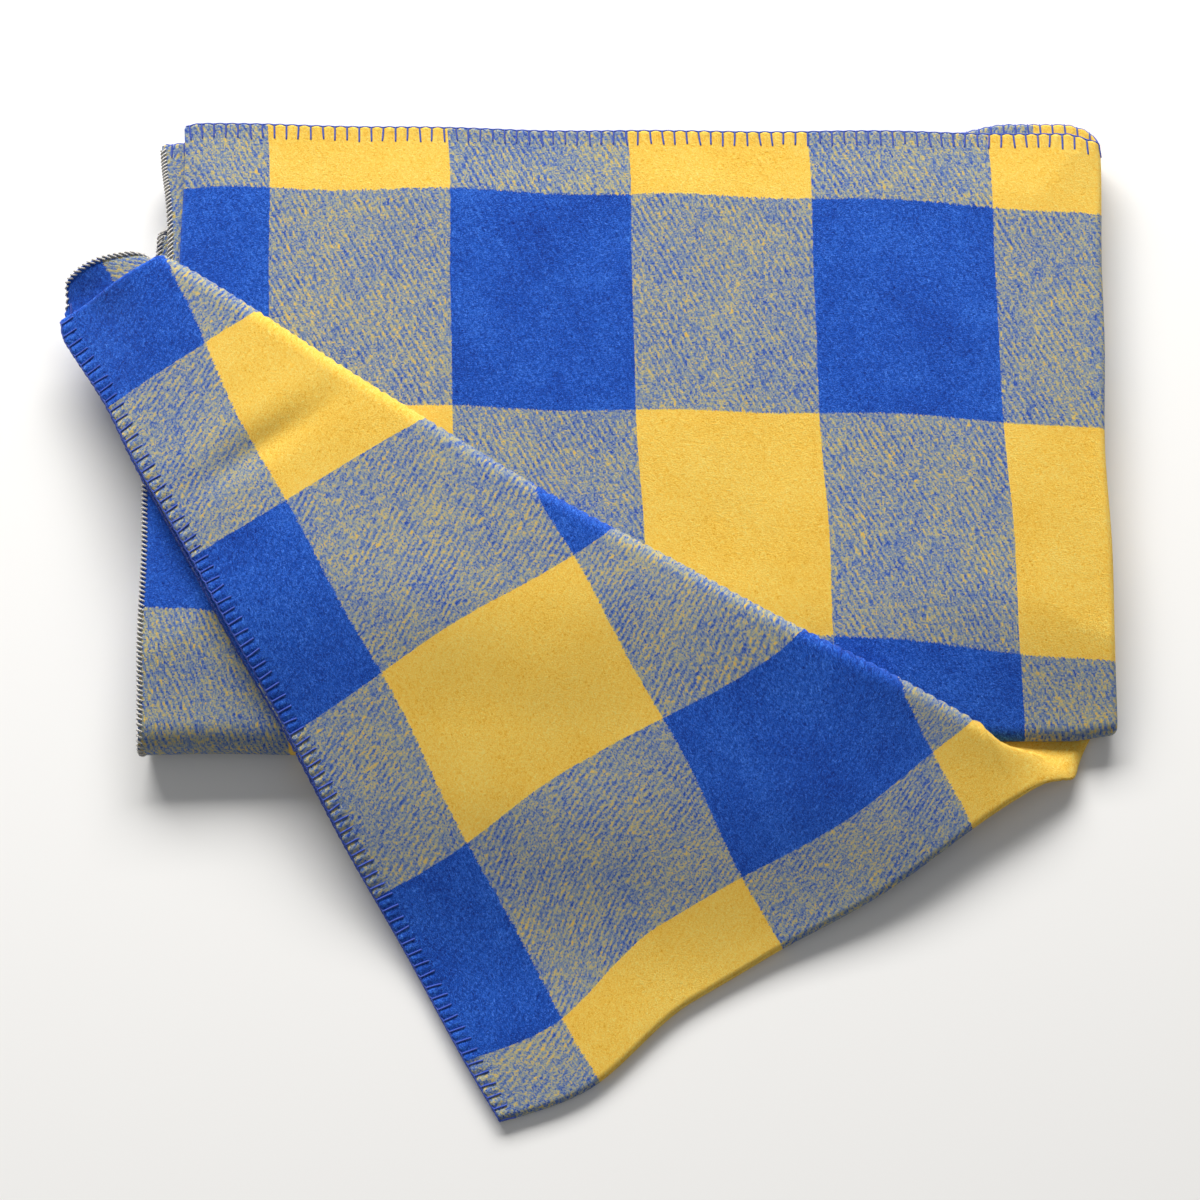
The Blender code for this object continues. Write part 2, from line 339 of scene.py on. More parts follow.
def place(u, v):
    """Middle of the cloth at (u, v), in the blanket's own frame."""
    u, v = (np.asarray(w, float) for w in np.broadcast_arrays(u, v))
    x, h = letter(u, free_edge(v))
    y, z, ny, nz = path(v)
    y, z = y + h * ny, z + h * nz
    outermost = np.clip(-h / STEP, 0, 1)

    # the stitched end isn't quite square, and its corners are round
    near_end = 1 - smooth(v / 0.30)
    at_end = 1 - smooth(v / 0.06)
    y = y - near_end * END_SKEW * (x - WIDTH / 2)
    y = y - at_end * (END_CORNER_RIGHT * smooth((x - WIDTH + 0.024) / 0.024) + END_CORNER_LEFT * (1 - smooth(x / 0.012)))
    creep = END_CREEP * smooth((x - 0.51) / 0.05) * (1 - smooth((x - 0.610) / 0.018))
    short = END_SHORT * (1 - smooth((x + 0.018) / 0.09))
    y = y + at_end * outermost * (creep - short)
    # the folds' own ends are pinched
    pinch = np.maximum(1 - smooth(x / 0.03), smooth((x - WIDTH + 0.03) / 0.03))
    back_nose = bump((v - (V_BACK + V_LOWER) / 2) / 0.03)
    front_nose = bump((v - (V_FRONT + V_MIDDLE) / 2) / 0.03)
    y = y - PINCH_BACK * pinch * back_nose + PINCH_FRONT * pinch * front_nose

    # the last panel and the bend that leads to it
    x_top = on_top(x, v)
    share = smooth((v - (V_OUTER - 0.03)) / (V_TOP - V_OUTER + 0.03))
    x_low = x + (x_top - x) * share
    flat_y = np.where(v >= V_TOP, FOLD_Y + v - V_TOP, FOLD_Y)
    g = np.clip((v - V_TOP) / TOP_LENGTH, 0, 1)
    stagger = 1 - np.clip(h / STEP, -0.4, 1)
    flat_y = flat_y + TOP_END_STAGGER * stagger * smooth((g - 0.6) / 0.4) * bump((x - 0.24) / 0.24)
    flat_y = flat_y - TOP_END_SHORT * outermost * (1 - smooth(x / 0.06)) * smooth((g - 0.93) / 0.07)
    flat_y = flat_y + TOP_CORNER_OUT * (1 - smooth(x / 0.09)) * smooth((g - 0.75) / 0.25)
    flat_y = flat_y - TOP_CORNER_ROUND * (1 - smooth(x / 0.014)) * smooth((g - 0.95) / 0.05)
    # the laid-back corner spreads where it hangs off the pile, and over the tuck
    spread = SPREAD_OFF_PILE * bump((g - 0.84) / 0.22) + SPREAD_AT_TUCK * bump((g - 0.24) / 0.24)
    x_top = x_top + smooth((x - 0.36) / 0.22) * spread
    rx, ry, rz, turned = turn_corner(x_top, flat_y, h)
    theta = np.clip((v - V_OUTER) / R_OUTER, 0, math.pi)
    rise = (1 - np.cos(theta)) / 2
    past = smooth((crease_side(x_top, FOLD_Y)[0] - 0.002) / 0.022)
    heading = -math.pi / 2 + past * LAID_BACK * rise
    to = np.stack([np.cos(heading), np.sin(heading)], -1)
    out = (R_OUTER - h) * np.sin(theta) * (1 + TUCK_SWELL * past)
    bend_x = x_low + (rx - x_low) * rise + out * to[..., 0]
    bend_y = FOLD_Y + (ry - FOLD_Y) * rise + out * to[..., 1]
    bend_z = Z_LOWER + h + (rz - Z_LOWER - h) * rise
    in_bend = (v > V_OUTER) & (v < V_TOP)
    px = np.where(v >= V_TOP, rx, np.where(in_bend, bend_x, x_low))
    py = np.where(v >= V_TOP, ry, np.where(in_bend, bend_y, y))
    pz = np.where(v >= V_TOP, rz, np.where(in_bend, bend_z, z))
    turned = np.where(v >= V_TOP, turned, np.where(in_bend, turned * rise, 0))
    return settle(np.stack([px, py, pz], -1), turned)


def frame_at(u, v, e=0.0004):
    """Point, directions along u and v, and the outer face's normal."""
    u, v = (np.asarray(w, float) for w in np.broadcast_arrays(u, v))
    p = place(u, v)
    du = place(np.minimum(u + e, CLOTH_WIDTH), v) - place(np.maximum(u - e, 0), v)
    dv = place(u, v + e) - place(u, v - e)
    du /= np.linalg.norm(du, axis=-1, keepdims=True)
    dv /= np.linalg.norm(dv, axis=-1, keepdims=True)
    n = np.cross(dv, du)
    n /= np.linalg.norm(n, axis=-1, keepdims=True)
    return p, du, dv, n


def stitch_puff(u):
    """0 at each stitch, 1 midway between two."""
    return np.cos(math.pi * u / STITCH_PITCH) ** 2


def half_thickness(u, v):
    end = np.minimum(v, CLOTH_LENGTH - v)
    side = np.minimum(u, CLOTH_WIDTH - u)
    e = np.clip(np.minimum(end, side) / EDGE_NOSE, 0, 1)
    nose = np.sqrt(np.clip(1 - (1 - e) ** 2, 0, 1)) * 0.96 + 0.04
    hem = (1 - smooth((end - 0.004) / 0.009)) * (end < 0.02)
    overlocked = 1 - smooth((side - 0.002) / 0.004)
    puffed = hem * (HEM_PUFF * stitch_puff(u) - HEM_PINCH)
    return (PLY / 2) * nose * (1 - 0.28 * overlocked) + puffed * nose


def surface(u, v, side):
    """A point on the cloth's outer (side 1) or inner (side -1) face."""
    u, v = (np.asarray(w, float) for w in np.broadcast_arrays(u, v))
    scallop = HEM_SCALLOP * stitch_puff(u)
    near = 1 - smooth(np.minimum(v, CLOTH_LENGTH - v) / 0.005)
    out = np.where(v < CLOTH_LENGTH / 2, -1, 1) * scallop * near
    p, _, _, n = frame_at(u, v + out)
    return p + side * half_thickness(u, v)[..., None] * n


def surface_normal(u, v, side, e=0.0003):
    u, v = (np.asarray(w, float) for w in np.broadcast_arrays(u, v))
    du = surface(np.minimum(u + e, CLOTH_WIDTH), v, side) - surface(np.maximum(u - e, 0), v, side)
    dv = surface(u, np.minimum(v + e, CLOTH_LENGTH), side) - surface(u, np.maximum(v - e, 0), side)
    n = np.cross(dv, du) * side
    return n / np.maximum(np.linalg.norm(n, axis=-1, keepdims=True), 1e-12)


# ---------------------------------------------------------------- the check, in cloth coordinates

CHECK_WIDTH, CHECK_LENGTH = 0.1217, 0.154
FIRST_COLUMN, FIRST_ROW = 0.66508, 0.046
TOP_PULL = 1.25  # from here on the cloth of the top panel is pulled askew
DRAWN_ACROSS, DRAWN_ALONG = 0.022, 0.026  # how far the weave is drawn towards the tuck
FREE_EDGE_LEAN = 0.010


def pattern_place(u, v):
    """(u, v) as woven: columns drift along the cloth, and rows lean and wander across it."""
    x, _ = letter(u, PEEK)
    behind = np.clip((u - U_RIGHT) / (CLOTH_WIDTH - U_RIGHT), 0, 1)  # 1 at the free edge behind
    lean = np.interp(v, [0, 0.41, TOP_PULL, CLOTH_LENGTH], [0, 0.0135, 0.001, 0.0165]) * (1 - behind)
    pulled = np.clip((v - TOP_PULL) / (CLOTH_LENGTH - TOP_PULL), 0, 1)
    lean = lean + (0.004 + 0.010 * pulled) * smooth((u - 0.79) / 0.13) * np.clip(pulled * 4, 0, 1) * (1 - behind)
    at_right = np.clip((x - 0.42) / (WIDTH - 0.42), 0, 1)
    skew = np.interp(v, [0, 0.20, 0.36, 0.9, CLOTH_LENGTH], [0.011, 0.012, 0.019, 0.004, 0.002]) * at_right
    skew = skew + np.interp(v, [0, 0.9, CLOTH_LENGTH], [0.0036, 0.0060, 0.0060]) * x
    skew = skew + behind * np.interp(v, [0, 1.35, 1.62], [0.055, 0.072, 0.031])
    # the rows aren't all beaten up alike
    woven = np.interp(
        v,
        [0, 0.0445, 0.195, 0.3455, TOP_PULL, 1.585, CLOTH_LENGTH],
        [0.0015, FIRST_ROW, FIRST_ROW + CHECK_LENGTH, FIRST_ROW + 2 * CHECK_LENGTH, 1.254, 1.586, CLOTH_LENGTH + 0.001],
    )
    # the weave is drawn towards the tuck
    g = np.clip((v - V_TOP) / TOP_LENGTH, 0, 1)
    drawn = smooth((v - V_OUTER + 0.15) / 0.15) * (1 - behind)
    drawn_across = DRAWN_ACROSS * bump((x - 0.50) / 0.115) * smooth((0.75 - g) / 0.60) * drawn
    drawn_along = DRAWN_ALONG * smooth((x - 0.30) / 0.28) * smooth((0.62 - g) / 0.42) * drawn
    wander = 0.0011 * np.sin(15 * u + 2.0) + 0.0009 * np.sin(41 * u + 0.5)
    bowed = 0.0010 * np.sin(13 * v + 0.8) + 0.0006 * np.sin(37 * v + 2.1)
    return u - lean + bowed + FREE_EDGE_LEAN * behind - drawn_across, woven - skew + wander - drawn_along


# ---------------------------------------------------------------- meshes


def grid(us, vs):
    """Quads over the flat cloth: points (u, v) and faces."""
    uu, vv = np.meshgrid(us, vs, indexing="ij")
    n = len(vs)
    i, j = np.meshgrid(np.arange(len(us) - 1), np.arange(n - 1), indexing="ij")
    a = (i * n + j).ravel()
    faces = np.stack([a, a + 1, a + n + 1, a + n], 1)
    return np.stack([uu.ravel(), vv.ravel()], 1), [list(map(int, f)) for f in faces]


def divide(points, faces, field):
    """Cuts a flat patch where field(u, v) is 0: the part below 0 and the part above."""
    values = field(points[:, 0], points[:, 1])
    bm = bmesh.new()
    verts = [bm.verts.new((p[0], p[1], f)) for p, f in zip(points, values)]
    for face in faces:
        bm.faces.new([verts[i] for i in face])
    bmesh.ops.bisect_plane(
        bm, geom=bm.verts[:] + bm.edges[:] + bm.faces[:], dist=1e-6, plane_co=(0, 0, 0), plane_no=(0, 0, 1)
    )
    parts = []
    for sign in (-1, 1):
        index, uv, kept = {}, [], []
        for face in bm.faces:
            if np.sign(sum(v.co.z for v in face.verts)) != sign:
                continue
            ring = []
            for v in face.verts:
                if v not in index:
                    index[v] = len(uv)
                    uv.append((v.co.x, v.co.y))
                ring.append(index[v])
            kept.append(ring)
        parts.append((np.array(uv, float).reshape(-1, 2), kept))
    bm.free()
    return parts


def join(*patches):
    points, faces, start = [], [], 0
    for p, f in patches:
        if not len(f):
            continue
        points.append(p)
        faces += [[i + start for i in face] for face in f]
        start += len(p)
    return np.concatenate(points), faces


def make_mesh(name, points, faces, normals, place_data, material):
    mesh = bpy.data.meshes.new(name)
    points[:, 2] = np.maximum(points[:, 2], 0.0001)
    mesh.from_pydata([tuple(p) for p in points], [], faces)
    mesh.update()
    mesh.polygons.foreach_set("use_smooth", [True] * len(mesh.polygons))
    if normals is not None:
        mesh.normals_split_custom_set_from_vertices([tuple(n) for n in normals])
    attribute = mesh.attributes.new("cloth_place", "FLOAT_VECTOR", "POINT")
    attribute.data.foreach_set("vector", np.asarray(place_data, np.float32).ravel())
    mesh.materials.append(material)
    obj = bpy.data.objects.new(name, mesh)
    bpy.context.scene.collection.objects.link(obj)
    return obj


def cloth_piece(name, patch, material):
    """Both faces of the cloth over a flat patch, and the rim that joins them."""
    points, faces = patch
    count = len(points)
    u, v = points[:, 0], points[:, 1]
    outer, inner = surface(u, v, 1.0), surface(u, v, -1.0)
    normals = np.concatenate([surface_normal(u, v, 1.0), surface_normal(u, v, -1.0)])
    # (u, v) is left-handed seen from the outer face
    first = faces[0]
    q = points[first]
    turn = np.sum(q[:, 0] * np.roll(q[:, 1], -1) - q[:, 1] * np.roll(q[:, 0], -1))
    rings = faces if turn < 0 else [f[::-1] for f in faces]
    all_faces = rings + [[i + count for i in f[::-1]] for f in rings]
    seen = {}
    for f in rings:
        for a, b in zip(f, f[1:] + f[:1]):
            seen[(a, b)] = seen.get((a, b), 0) + 1
    for a, b in seen:
        if (b, a) not in seen:
            all_faces.append([b, a, a + count, b + count])
    pu, pv = pattern_place(u, v)
    data = np.concatenate([np.stack([pu, pv, np.ones(count)], 1), np.stack([pu, pv, -np.ones(count)], 1)])
    obj = make_mesh(name, np.concatenate([outer, inner]) + ORIGIN, all_faces, normals, data, material)
    return obj


def tubes(name, lines, radius, references, sides, material, kind=0.0):
    """Lengths of yarn. references give a direction across each point, which fixes the tube's turn."""
    points, faces, normals = [], [], []
    start = 0
    angles = np.arange(sides) * 2 * math.pi / sides
    for line, ref in zip(lines, references):
        tangent = np.gradient(line, axis=0)
        tangent /= np.maximum(np.linalg.norm(tangent, axis=1, keepdims=True), 1e-12)
        a = ref - np.sum(ref * tangent, 1, keepdims=True) * tangent
        a /= np.maximum(np.linalg.norm(a, axis=1, keepdims=True), 1e-12)
        b = np.cross(tangent, a)
        n = a[:, None] * np.cos(angles)[None, :, None] + b[:, None] * np.sin(angles)[None, :, None]
        ring = line[:, None] + radius * n
        points.append(ring.reshape(-1, 3))
        normals.append(n.reshape(-1, 3))
        count = len(line)
        k = np.arange(sides)
        for i in range(count - 1):
            low, high = start + i * sides, start + (i + 1) * sides
            for s in range(sides):
                t = (s + 1) % sides
                faces.append([low + s, low + t, high + t, high + s])
        faces.append([start + int(s) for s in k[::-1]])
        faces.append([start + (count - 1) * sides + int(s) for s in k])
        start += count * sides
    points = np.concatenate(points)
    data = np.zeros((len(points), 3))
    running = 0
    for line in lines:
        length = np.concatenate([[0], np.cumsum(np.linalg.norm(np.diff(line, axis=0), axis=1))])
        block = np.repeat(length, sides)
        data[running : running + len(block), 0] = block
        data[running : running + len(block), 1] = np.tile(angles / (2 * math.pi), len(line))
        running += len(block)
    data[:, 2] = kind
    obj = make_mesh(name, points + ORIGIN, faces, np.concatenate(normals), data, material)
    return obj


# ---------------------------------------------------------------- materials


class Graph:
    """Small helpers for writing node trees."""

    def __init__(self, name):
        self.material = bpy.data.materials.new(name)
        self.material.use_nodes = True
        self.tree = self.material.node_tree
        self.shader = self.tree.nodes["Principled BSDF"]

    def node(self, kind, **settings):
        made = self.tree.nodes.new(kind)
        for key, value in settings.items():
            setattr(made, key, value)
        return made

    def link(self, value, socket):
        if isinstance(value, (int, float)):
            socket.default_value = value
        elif isinstance(value, tuple):
            socket.default_value = value if len(value) == len(socket.default_value) else value + (1.0,)
        else:
            self.tree.links.new(value, socket)

    def math(self, operation, *values, clamp=False):
        made = self.node("ShaderNodeMath", operation=operation, use_clamp=clamp)
        for value, socket in zip(values, made.inputs):
            self.link(value, socket)
        return made.outputs[0]

    def add(self, a, b):
        return self.math("ADD", a, b)

    def sub(self, a, b):
        return self.math("SUBTRACT", a, b)

    def mul(self, a, b):
        return self.math("MULTIPLY", a, b)

    def fract(self, a):
        return self.math("FRACT", a)

    def remap(self, value, low, high, to_low=0.0, to_high=1.0, kind="SMOOTHSTEP"):
        made = self.node("ShaderNodeMapRange", interpolation_type=kind)
        self.link(value, made.inputs["Value"])
        for key, number in zip(("From Min", "From Max", "To Min", "To Max"), (low, high, to_low, to_high)):
            made.inputs[key].default_value = number
        return made.outputs["Result"]

    def vector(self, x, y, z=0.0):
        made = self.node("ShaderNodeCombineXYZ")
        for value, socket in zip((x, y, z), made.inputs):
            self.link(value, socket)
        return made.outputs[0]

    def noise(self, vector, scale, detail=2.0, roughness=0.5, distortion=0.0):
        made = self.node("ShaderNodeTexNoise", noise_dimensions="3D")
        self.link(vector, made.inputs["Vector"])
        for key, number in (("Scale", scale), ("Detail", detail), ("Roughness", roughness), ("Distortion", distortion)):
            made.inputs[key].default_value = number
        return made.outputs["Fac"]

    def white(self, x, y):
        made = self.node("ShaderNodeTexWhiteNoise", noise_dimensions="3D")
        self.link(self.vector(x, y), made.inputs["Vector"])
        return made.outputs["Value"]

    def mix(self, share, a, b):
        made = self.node("ShaderNodeMix", data_type="RGBA")
        self.link(share, made.inputs["Factor"])
        a_socket, b_socket = (socket for socket in made.inputs if socket.type == "RGBA")
        self.link(a, a_socket)
        self.link(b, b_socket)
        return next(socket for socket in made.outputs if socket.type == "RGBA")

    def blend_number(self, share, a, b):
        made = self.node("ShaderNodeMix", data_type="FLOAT")
        self.link(share, made.inputs[0])
        self.link(a, made.inputs[2])
        self.link(b, made.inputs[3])
        return made.outputs[0]

    def ramp(self, value, *stops):
        made = self.node("ShaderNodeValToRGB")
        self.link(value, made.inputs[0])
        elements = made.color_ramp.elements
        elements[0].position, elements[0].color = stops[0][0], stops[0][1] + (1.0,)
        elements[1].position, elements[1].color = stops[-1][0], stops[-1][1] + (1.0,)
        for position, colour in stops[1:-1]:
            elements.new(position).color = colour + (1.0,)
        return made.outputs["Color"]


def paint(red, green, blue):
    """A colour given as it looks on a screen, as the shader wants it."""
    return tuple(c / 12.92 if c <= 0.04045 else ((c + 0.055) / 1.055) ** 2.4 for c in (red, green, blue))


# colours of the wool and the yarn, each from one end of its range of tones to the other
MIXED_WOOL = (
    (0.00, paint(0.92, 0.76, 0.36)),
    (0.18, paint(0.80, 0.745, 0.49)),
    (0.40, paint(0.63, 0.66, 0.62)),
    (0.58, paint(0.48, 0.56, 0.69)),
    (0.78, paint(0.31, 0.44, 0.73)),
    (1.00, paint(0.12, 0.28, 0.70)),
)
BLUE_WOOL = (
    (0.05, paint(0.005, 0.120, 0.45)),
    (0.38, paint(0.035, 0.265, 0.68)),
    (0.62, paint(0.100, 0.370, 0.82)),
    (1.00, paint(0.34, 0.58, 0.96)),
)
YELLOW_WOOL = (
    (0.00, paint(0.90, 0.63, 0.08)),
    (0.32, paint(1.000, 0.790, 0.280)),
    (0.60, paint(1.000, 0.840, 0.375)),
    (1.00, paint(1.000, 0.900, 0.50)),
)
STITCH_YARN = ((0.0, paint(0.13, 0.21, 0.52)), (0.5, paint(0.21, 0.31, 0.68)), (1.0, paint(0.40, 0.50, 0.84)))
OVERLOCK_YARN = ((0.0, paint(0.40, 0.44, 0.62)), (0.45, paint(0.72, 0.72, 0.72)), (1.0, paint(0.96, 0.90, 0.74)))

WARP_PITCH = 0.0011
WEFT_PITCH = 0.00203
YARN_TWISTS = 900.0  # turns in a metre


def wool_cloth():
    """Check twill, napped. cloth_place holds the woven u and v, and which face this is (1 or -1)."""
    g = Graph("wool_check")
    place_node = g.node("ShaderNodeAttribute", attribute_name="cloth_place", attribute_type="GEOMETRY")
    split = g.node("ShaderNodeSeparateXYZ")
    g.tree.links.new(place_node.outputs["Vector"], split.inputs[0])
    u, v, face = split.outputs
    here = g.vector(u, v, g.mul(face, 0.01))

    # threads aren't straight
    wobble_u = g.mul(g.sub(g.noise(here, 70, 3, 0.6), 0.5), 0.0034)
    wobble_v = g.mul(g.sub(g.noise(g.vector(v, u, 3.0), 70, 3, 0.6), 0.5), 0.0034)
    fray = g.sub(g.noise(here, 900, 3, 0.7), 0.5)
    comb = g.sub(g.noise(g.vector(g.mul(u, 900.0), g.mul(v, 120.0), 5.0), 1.0, 2, 0.6), 0.5)
    uw, vw = g.add(u, wobble_u), g.add(v, wobble_v)

    # where the colours change, with a frayed line between them
    across_u = g.add(g.add(u, g.mul(wobble_u, 0.35)), g.mul(fray, 0.0022))
    along_v = g.add(g.add(v, g.mul(wobble_v, 0.35)), g.add(g.mul(fray, 0.0026), g.mul(comb, 0.0050)))
    column = g.mul(g.sub(across_u, FIRST_COLUMN), 0.5 / CHECK_WIDTH)
    row = g.mul(g.sub(along_v, FIRST_ROW), 0.5 / CHECK_LENGTH)
    warp_blue = g.math("GREATER_THAN", g.fract(column), 0.5)
    weft_blue = g.math("LESS_THAN", g.fract(row), 0.5)
    differ = g.math("ABSOLUTE", g.sub(warp_blue, weft_blue))

    # twill: two over, two under, stepping one thread each row
    i, j = g.mul(uw, 1 / WARP_PITCH), g.mul(vw, 1 / WEFT_PITCH)
    phase = g.mul(g.sub(i, j), 0.25)
    twill = g.math("SINE", g.mul(phase, 2 * math.pi))
    twill = g.mul(twill, face)
    # fibres: short, fine, along the threads and then teased out of line
    warp_fibre = g.sub(g.noise(g.vector(g.mul(uw, 1300.0), g.mul(vw, 380.0), 1.0), 1.0, 4, 0.70, 0.8), 0.5)
    weft_fibre = g.sub(g.noise(g.vector(g.mul(uw, 380.0), g.mul(vw, 1300.0), 2.0), 1.0, 4, 0.70, 0.8), 0.5)
    felt = g.sub(g.noise(here, 620, 5, 0.78, 1.6), 0.5)
    curl = g.sub(g.noise(g.vector(g.add(u, g.mul(felt, 0.004)), v, g.mul(face, 0.02)), 430, 4, 0.75, 2.4), 0.5)
    # slubs: thick and thin places in the yarn, longest along the warp
    warp_slub = g.noise(g.vector(g.mul(uw, 330.0), g.mul(vw, 105.0), 7.0), 1.0, 2, 0.55, 0.5)
    weft_slub = g.noise(g.vector(g.mul(uw, 150.0), g.mul(vw, 330.0), 9.0), 1.0, 2, 0.55, 0.4)
    knot = g.noise(g.vector(g.mul(uw, 260.0), g.mul(vw, 120.0), 12.0), 1.0, 1, 0.5, 0.3)
    cloud = g.sub(g.noise(here, 22, 3, 0.6), 0.5)
    thinned = g.remap(g.noise(here, 38, 2, 0.5), 0.35, 0.65, 0.45, 1.0)

    # each crossing of two threads is a little lighter or darker than the next
    crossing = g.sub(g.white(g.math("FLOOR", i), g.math("FLOOR", g.mul(j, 2.0))), 0.5)

    # share of blue at this point of a mixed square
    warp_on_top = g.add(0.5, g.mul(g.mul(twill, thinned), 0.18))
    blue_share = g.blend_number(warp_on_top, weft_blue, warp_blue)
    nap = g.add(g.mul(warp_fibre, 0.95), g.add(g.mul(weft_fibre, 0.70), g.mul(felt, 0.85)))
    blue_share = g.add(blue_share, g.mul(nap, 1.05))
    blue_share = g.add(blue_share, g.mul(crossing, 0.50))
    blue_share = g.add(blue_share, g.mul(cloud, 0.45))
    blue_share = g.add(blue_share, g.mul(g.sub(warp_slub, 0.5), 0.70))
    blue_share = g.sub(blue_share, g.mul(g.sub(weft_slub, 0.5), 0.28))
    blue_share = g.sub(blue_share, g.remap(knot, 0.68, 0.82, 0.0, 0.60))
    blue_share = g.add(blue_share, g.remap(knot, 0.30, 0.18, 0.0, 0.45))
    mixed = g.ramp(blue_share, *MIXED_WOOL)
    tone = g.add(0.5, g.add(g.mul(nap, 0.70), g.add(g.mul(cloud, 0.45), g.add(g.mul(twill, 0.03), g.mul(curl, 2.5)))))
    solid = g.mix(warp_blue, g.ramp(tone, *YELLOW_WOOL), g.ramp(tone, *BLUE_WOOL))
    colour = g.mix(differ, solid, mixed)
    g.tree.links.new(colour, g.shader.inputs["Base Color"])

    # relief: the twill's ridges, deeper where the two colours cross, and the felted nap over them
    ridge = g.mul(g.math("ABSOLUTE", twill), g.blend_number(differ, 0.10, 0.34))
    threads = g.mul(g.math("SINE", g.mul(i, 2 * math.pi)), g.blend_number(differ, 0.02, 0.10))
    height = g.add(g.add(ridge, threads), g.add(g.mul(curl, 2.2), g.add(g.mul(felt, 0.9), g.mul(nap, 0.6))))
    relief = g.node("ShaderNodeBump")
    relief.inputs["Strength"].default_value = 0.75
    relief.inputs["Distance"].default_value = 0.0007
    g.tree.links.new(height, relief.inputs["Height"])
    g.tree.links.new(relief.outputs["Normal"], g.shader.inputs["Normal"])
    g.shader.inputs["Roughness"].default_value = 0.94
    g.shader.inputs["Specular IOR Level"].default_value = 0.18
    g.shader.inputs["Sheen Weight"].default_value = 0.08
    g.shader.inputs["Sheen Roughness"].default_value = 0.55
    g.shader.inputs["Sheen Tint"].default_value = (0.92, 0.94, 1.0, 1.0)
    return g.material


def wool_yarn():
    """Twisted yarn. cloth_place holds the length along it, the share of a turn round it, and its kind."""
    g = Graph("stitching_yarn")
    place_node = g.node("ShaderNodeAttribute", attribute_name="cloth_place", attribute_type="GEOMETRY")
    split = g.node("ShaderNodeSeparateXYZ")
    g.tree.links.new(place_node.outputs["Vector"], split.inputs[0])
    along, around, kind = split.outputs
    twist = g.math("SINE", g.mul(g.add(g.mul(along, YARN_TWISTS), around), 2 * math.pi))
    fibre = g.sub(g.noise(g.vector(g.mul(along, 1400.0), g.mul(around, 7.0), kind), 1.0, 3, 0.6), 0.5)
    tone = g.add(0.5, g.add(g.mul(twist, 0.16), g.mul(fibre, 0.9)))
    colour = g.mix(kind, g.ramp(tone, *STITCH_YARN), g.ramp(tone, *OVERLOCK_YARN))
    g.tree.links.new(colour, g.shader.inputs["Base Color"])
    relief = g.node("ShaderNodeBump")
    relief.inputs["Strength"].default_value = 0.6
    relief.inputs["Distance"].default_value = 0.00025
    g.tree.links.new(g.add(g.mul(twist, 0.5), fibre), relief.inputs["Height"])
    g.tree.links.new(relief.outputs["Normal"], g.shader.inputs["Normal"])
    g.shader.inputs["Roughness"].default_value = 0.9
    g.shader.inputs["Specular IOR Level"].default_value = 0.2
    g.shader.inputs["Sheen Weight"].default_value = 0.2
    g.shader.inputs["Sheen Roughness"].default_value = 0.5
    return g.material


# ---------------------------------------------------------------- the cloth pieces


def steps(a, b, size):
    return np.linspace(a, b, max(2, int(math.ceil((b - a) / size)) + 1))


def chain(*runs):
    out = [runs[0]]
    for r in runs[1:]:
        out.append(r[1:])
    return np.concatenate(out)


def edge_steps(a, b, size, fine_start=False, fine_end=False):
    """Even steps, with fine ones close to a free edge so that it comes out round."""
    fine = np.array([0, 0.00012, 0.0004, 0.0009, 0.0016, 0.0028, 0.0045])
    runs = []
    start, end = a, b
    if fine_start:
        runs.append(a + fine)
        start = a + fine[-1]
    if fine_end:
        end = b - fine[-1]
    runs.append(steps(start, end, size))
    if fine_end:
        runs.append(b - fine[::-1])
    return chain(*runs)


def across(face, inside, back):
    """Steps in u over the whole width: the layer tucked in, the visible face, and the layer behind it."""
    return chain(
        edge_steps(0, U_LEFT, inside, fine_start=True),
        np.linspace(U_LEFT, U_FACE, 7),
        steps(U_FACE, U_RIGHT, face),
        np.linspace(U_RIGHT, U_BACK, 9),
        edge_steps(U_BACK, CLOTH_WIDTH, back, fine_end=True),
    )


PER_STITCH = 6  # steps across the cloth from one stitch to the next
hem_step = STITCH_PITCH / PER_STITCH
hem_across = across(hem_step, 0.008, hem_step)
hem_rows = np.array([0, 0.00015, 0.0005, 0.0010, 0.0017, 0.0028, 0.0042, 0.0058, 0.0075, 0.0092, 0.0108, 0.0122, HEM])


def flat_top(u, v):
    x, h = letter(u, free_edge(v))
    x = on_top(x, v)
    return x, np.where(v >= V_TOP, FOLD_Y + v - V_TOP, FOLD_Y), h


def past_crease(u, v):
    x, y, _ = flat_top(u, v)
    return crease_side(x, y)[0]


def past_front(u, v):
    """Below 0 where the turned cloth hangs past the stack's front."""
    return place(u, v)[..., 1]


cloth = wool_cloth()
yarn = wool_yarn()

upper = join(
    grid(hem_across, hem_rows),
    grid(across(0.004, 0.012, 0.008), steps(HEM, V_FRONT, 0.004)),
)
blanket_upper = cloth_piece("blanket_upper", upper, cloth)
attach(blanket_upper, "stack")
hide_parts("upper_panel")

outer_bend = grid(across(0.005, 0.012, 0.005), np.linspace(V_OUTER, V_TOP, 17))
outer_bend_low, outer_bend_turned = divide(*outer_bend, past_crease)
lower = join(
    grid(
        across(0.012, 0.012, 0.012),
        chain(
            np.linspace(V_FRONT, V_MIDDLE, 10),
            steps(V_MIDDLE, V_BACK, 0.012),
            np.linspace(V_BACK, V_LOWER, 10),
            steps(V_LOWER, V_OUTER, 0.012),
        ),
    ),
    outer_bend_low,
)
blanket_lower = cloth_piece("blanket_lower", lower, cloth)
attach(blanket_lower, "stack")
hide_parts("lower_panel", "middle_panel", "back_fold", "inner_front_fold", "outer_front_fold")

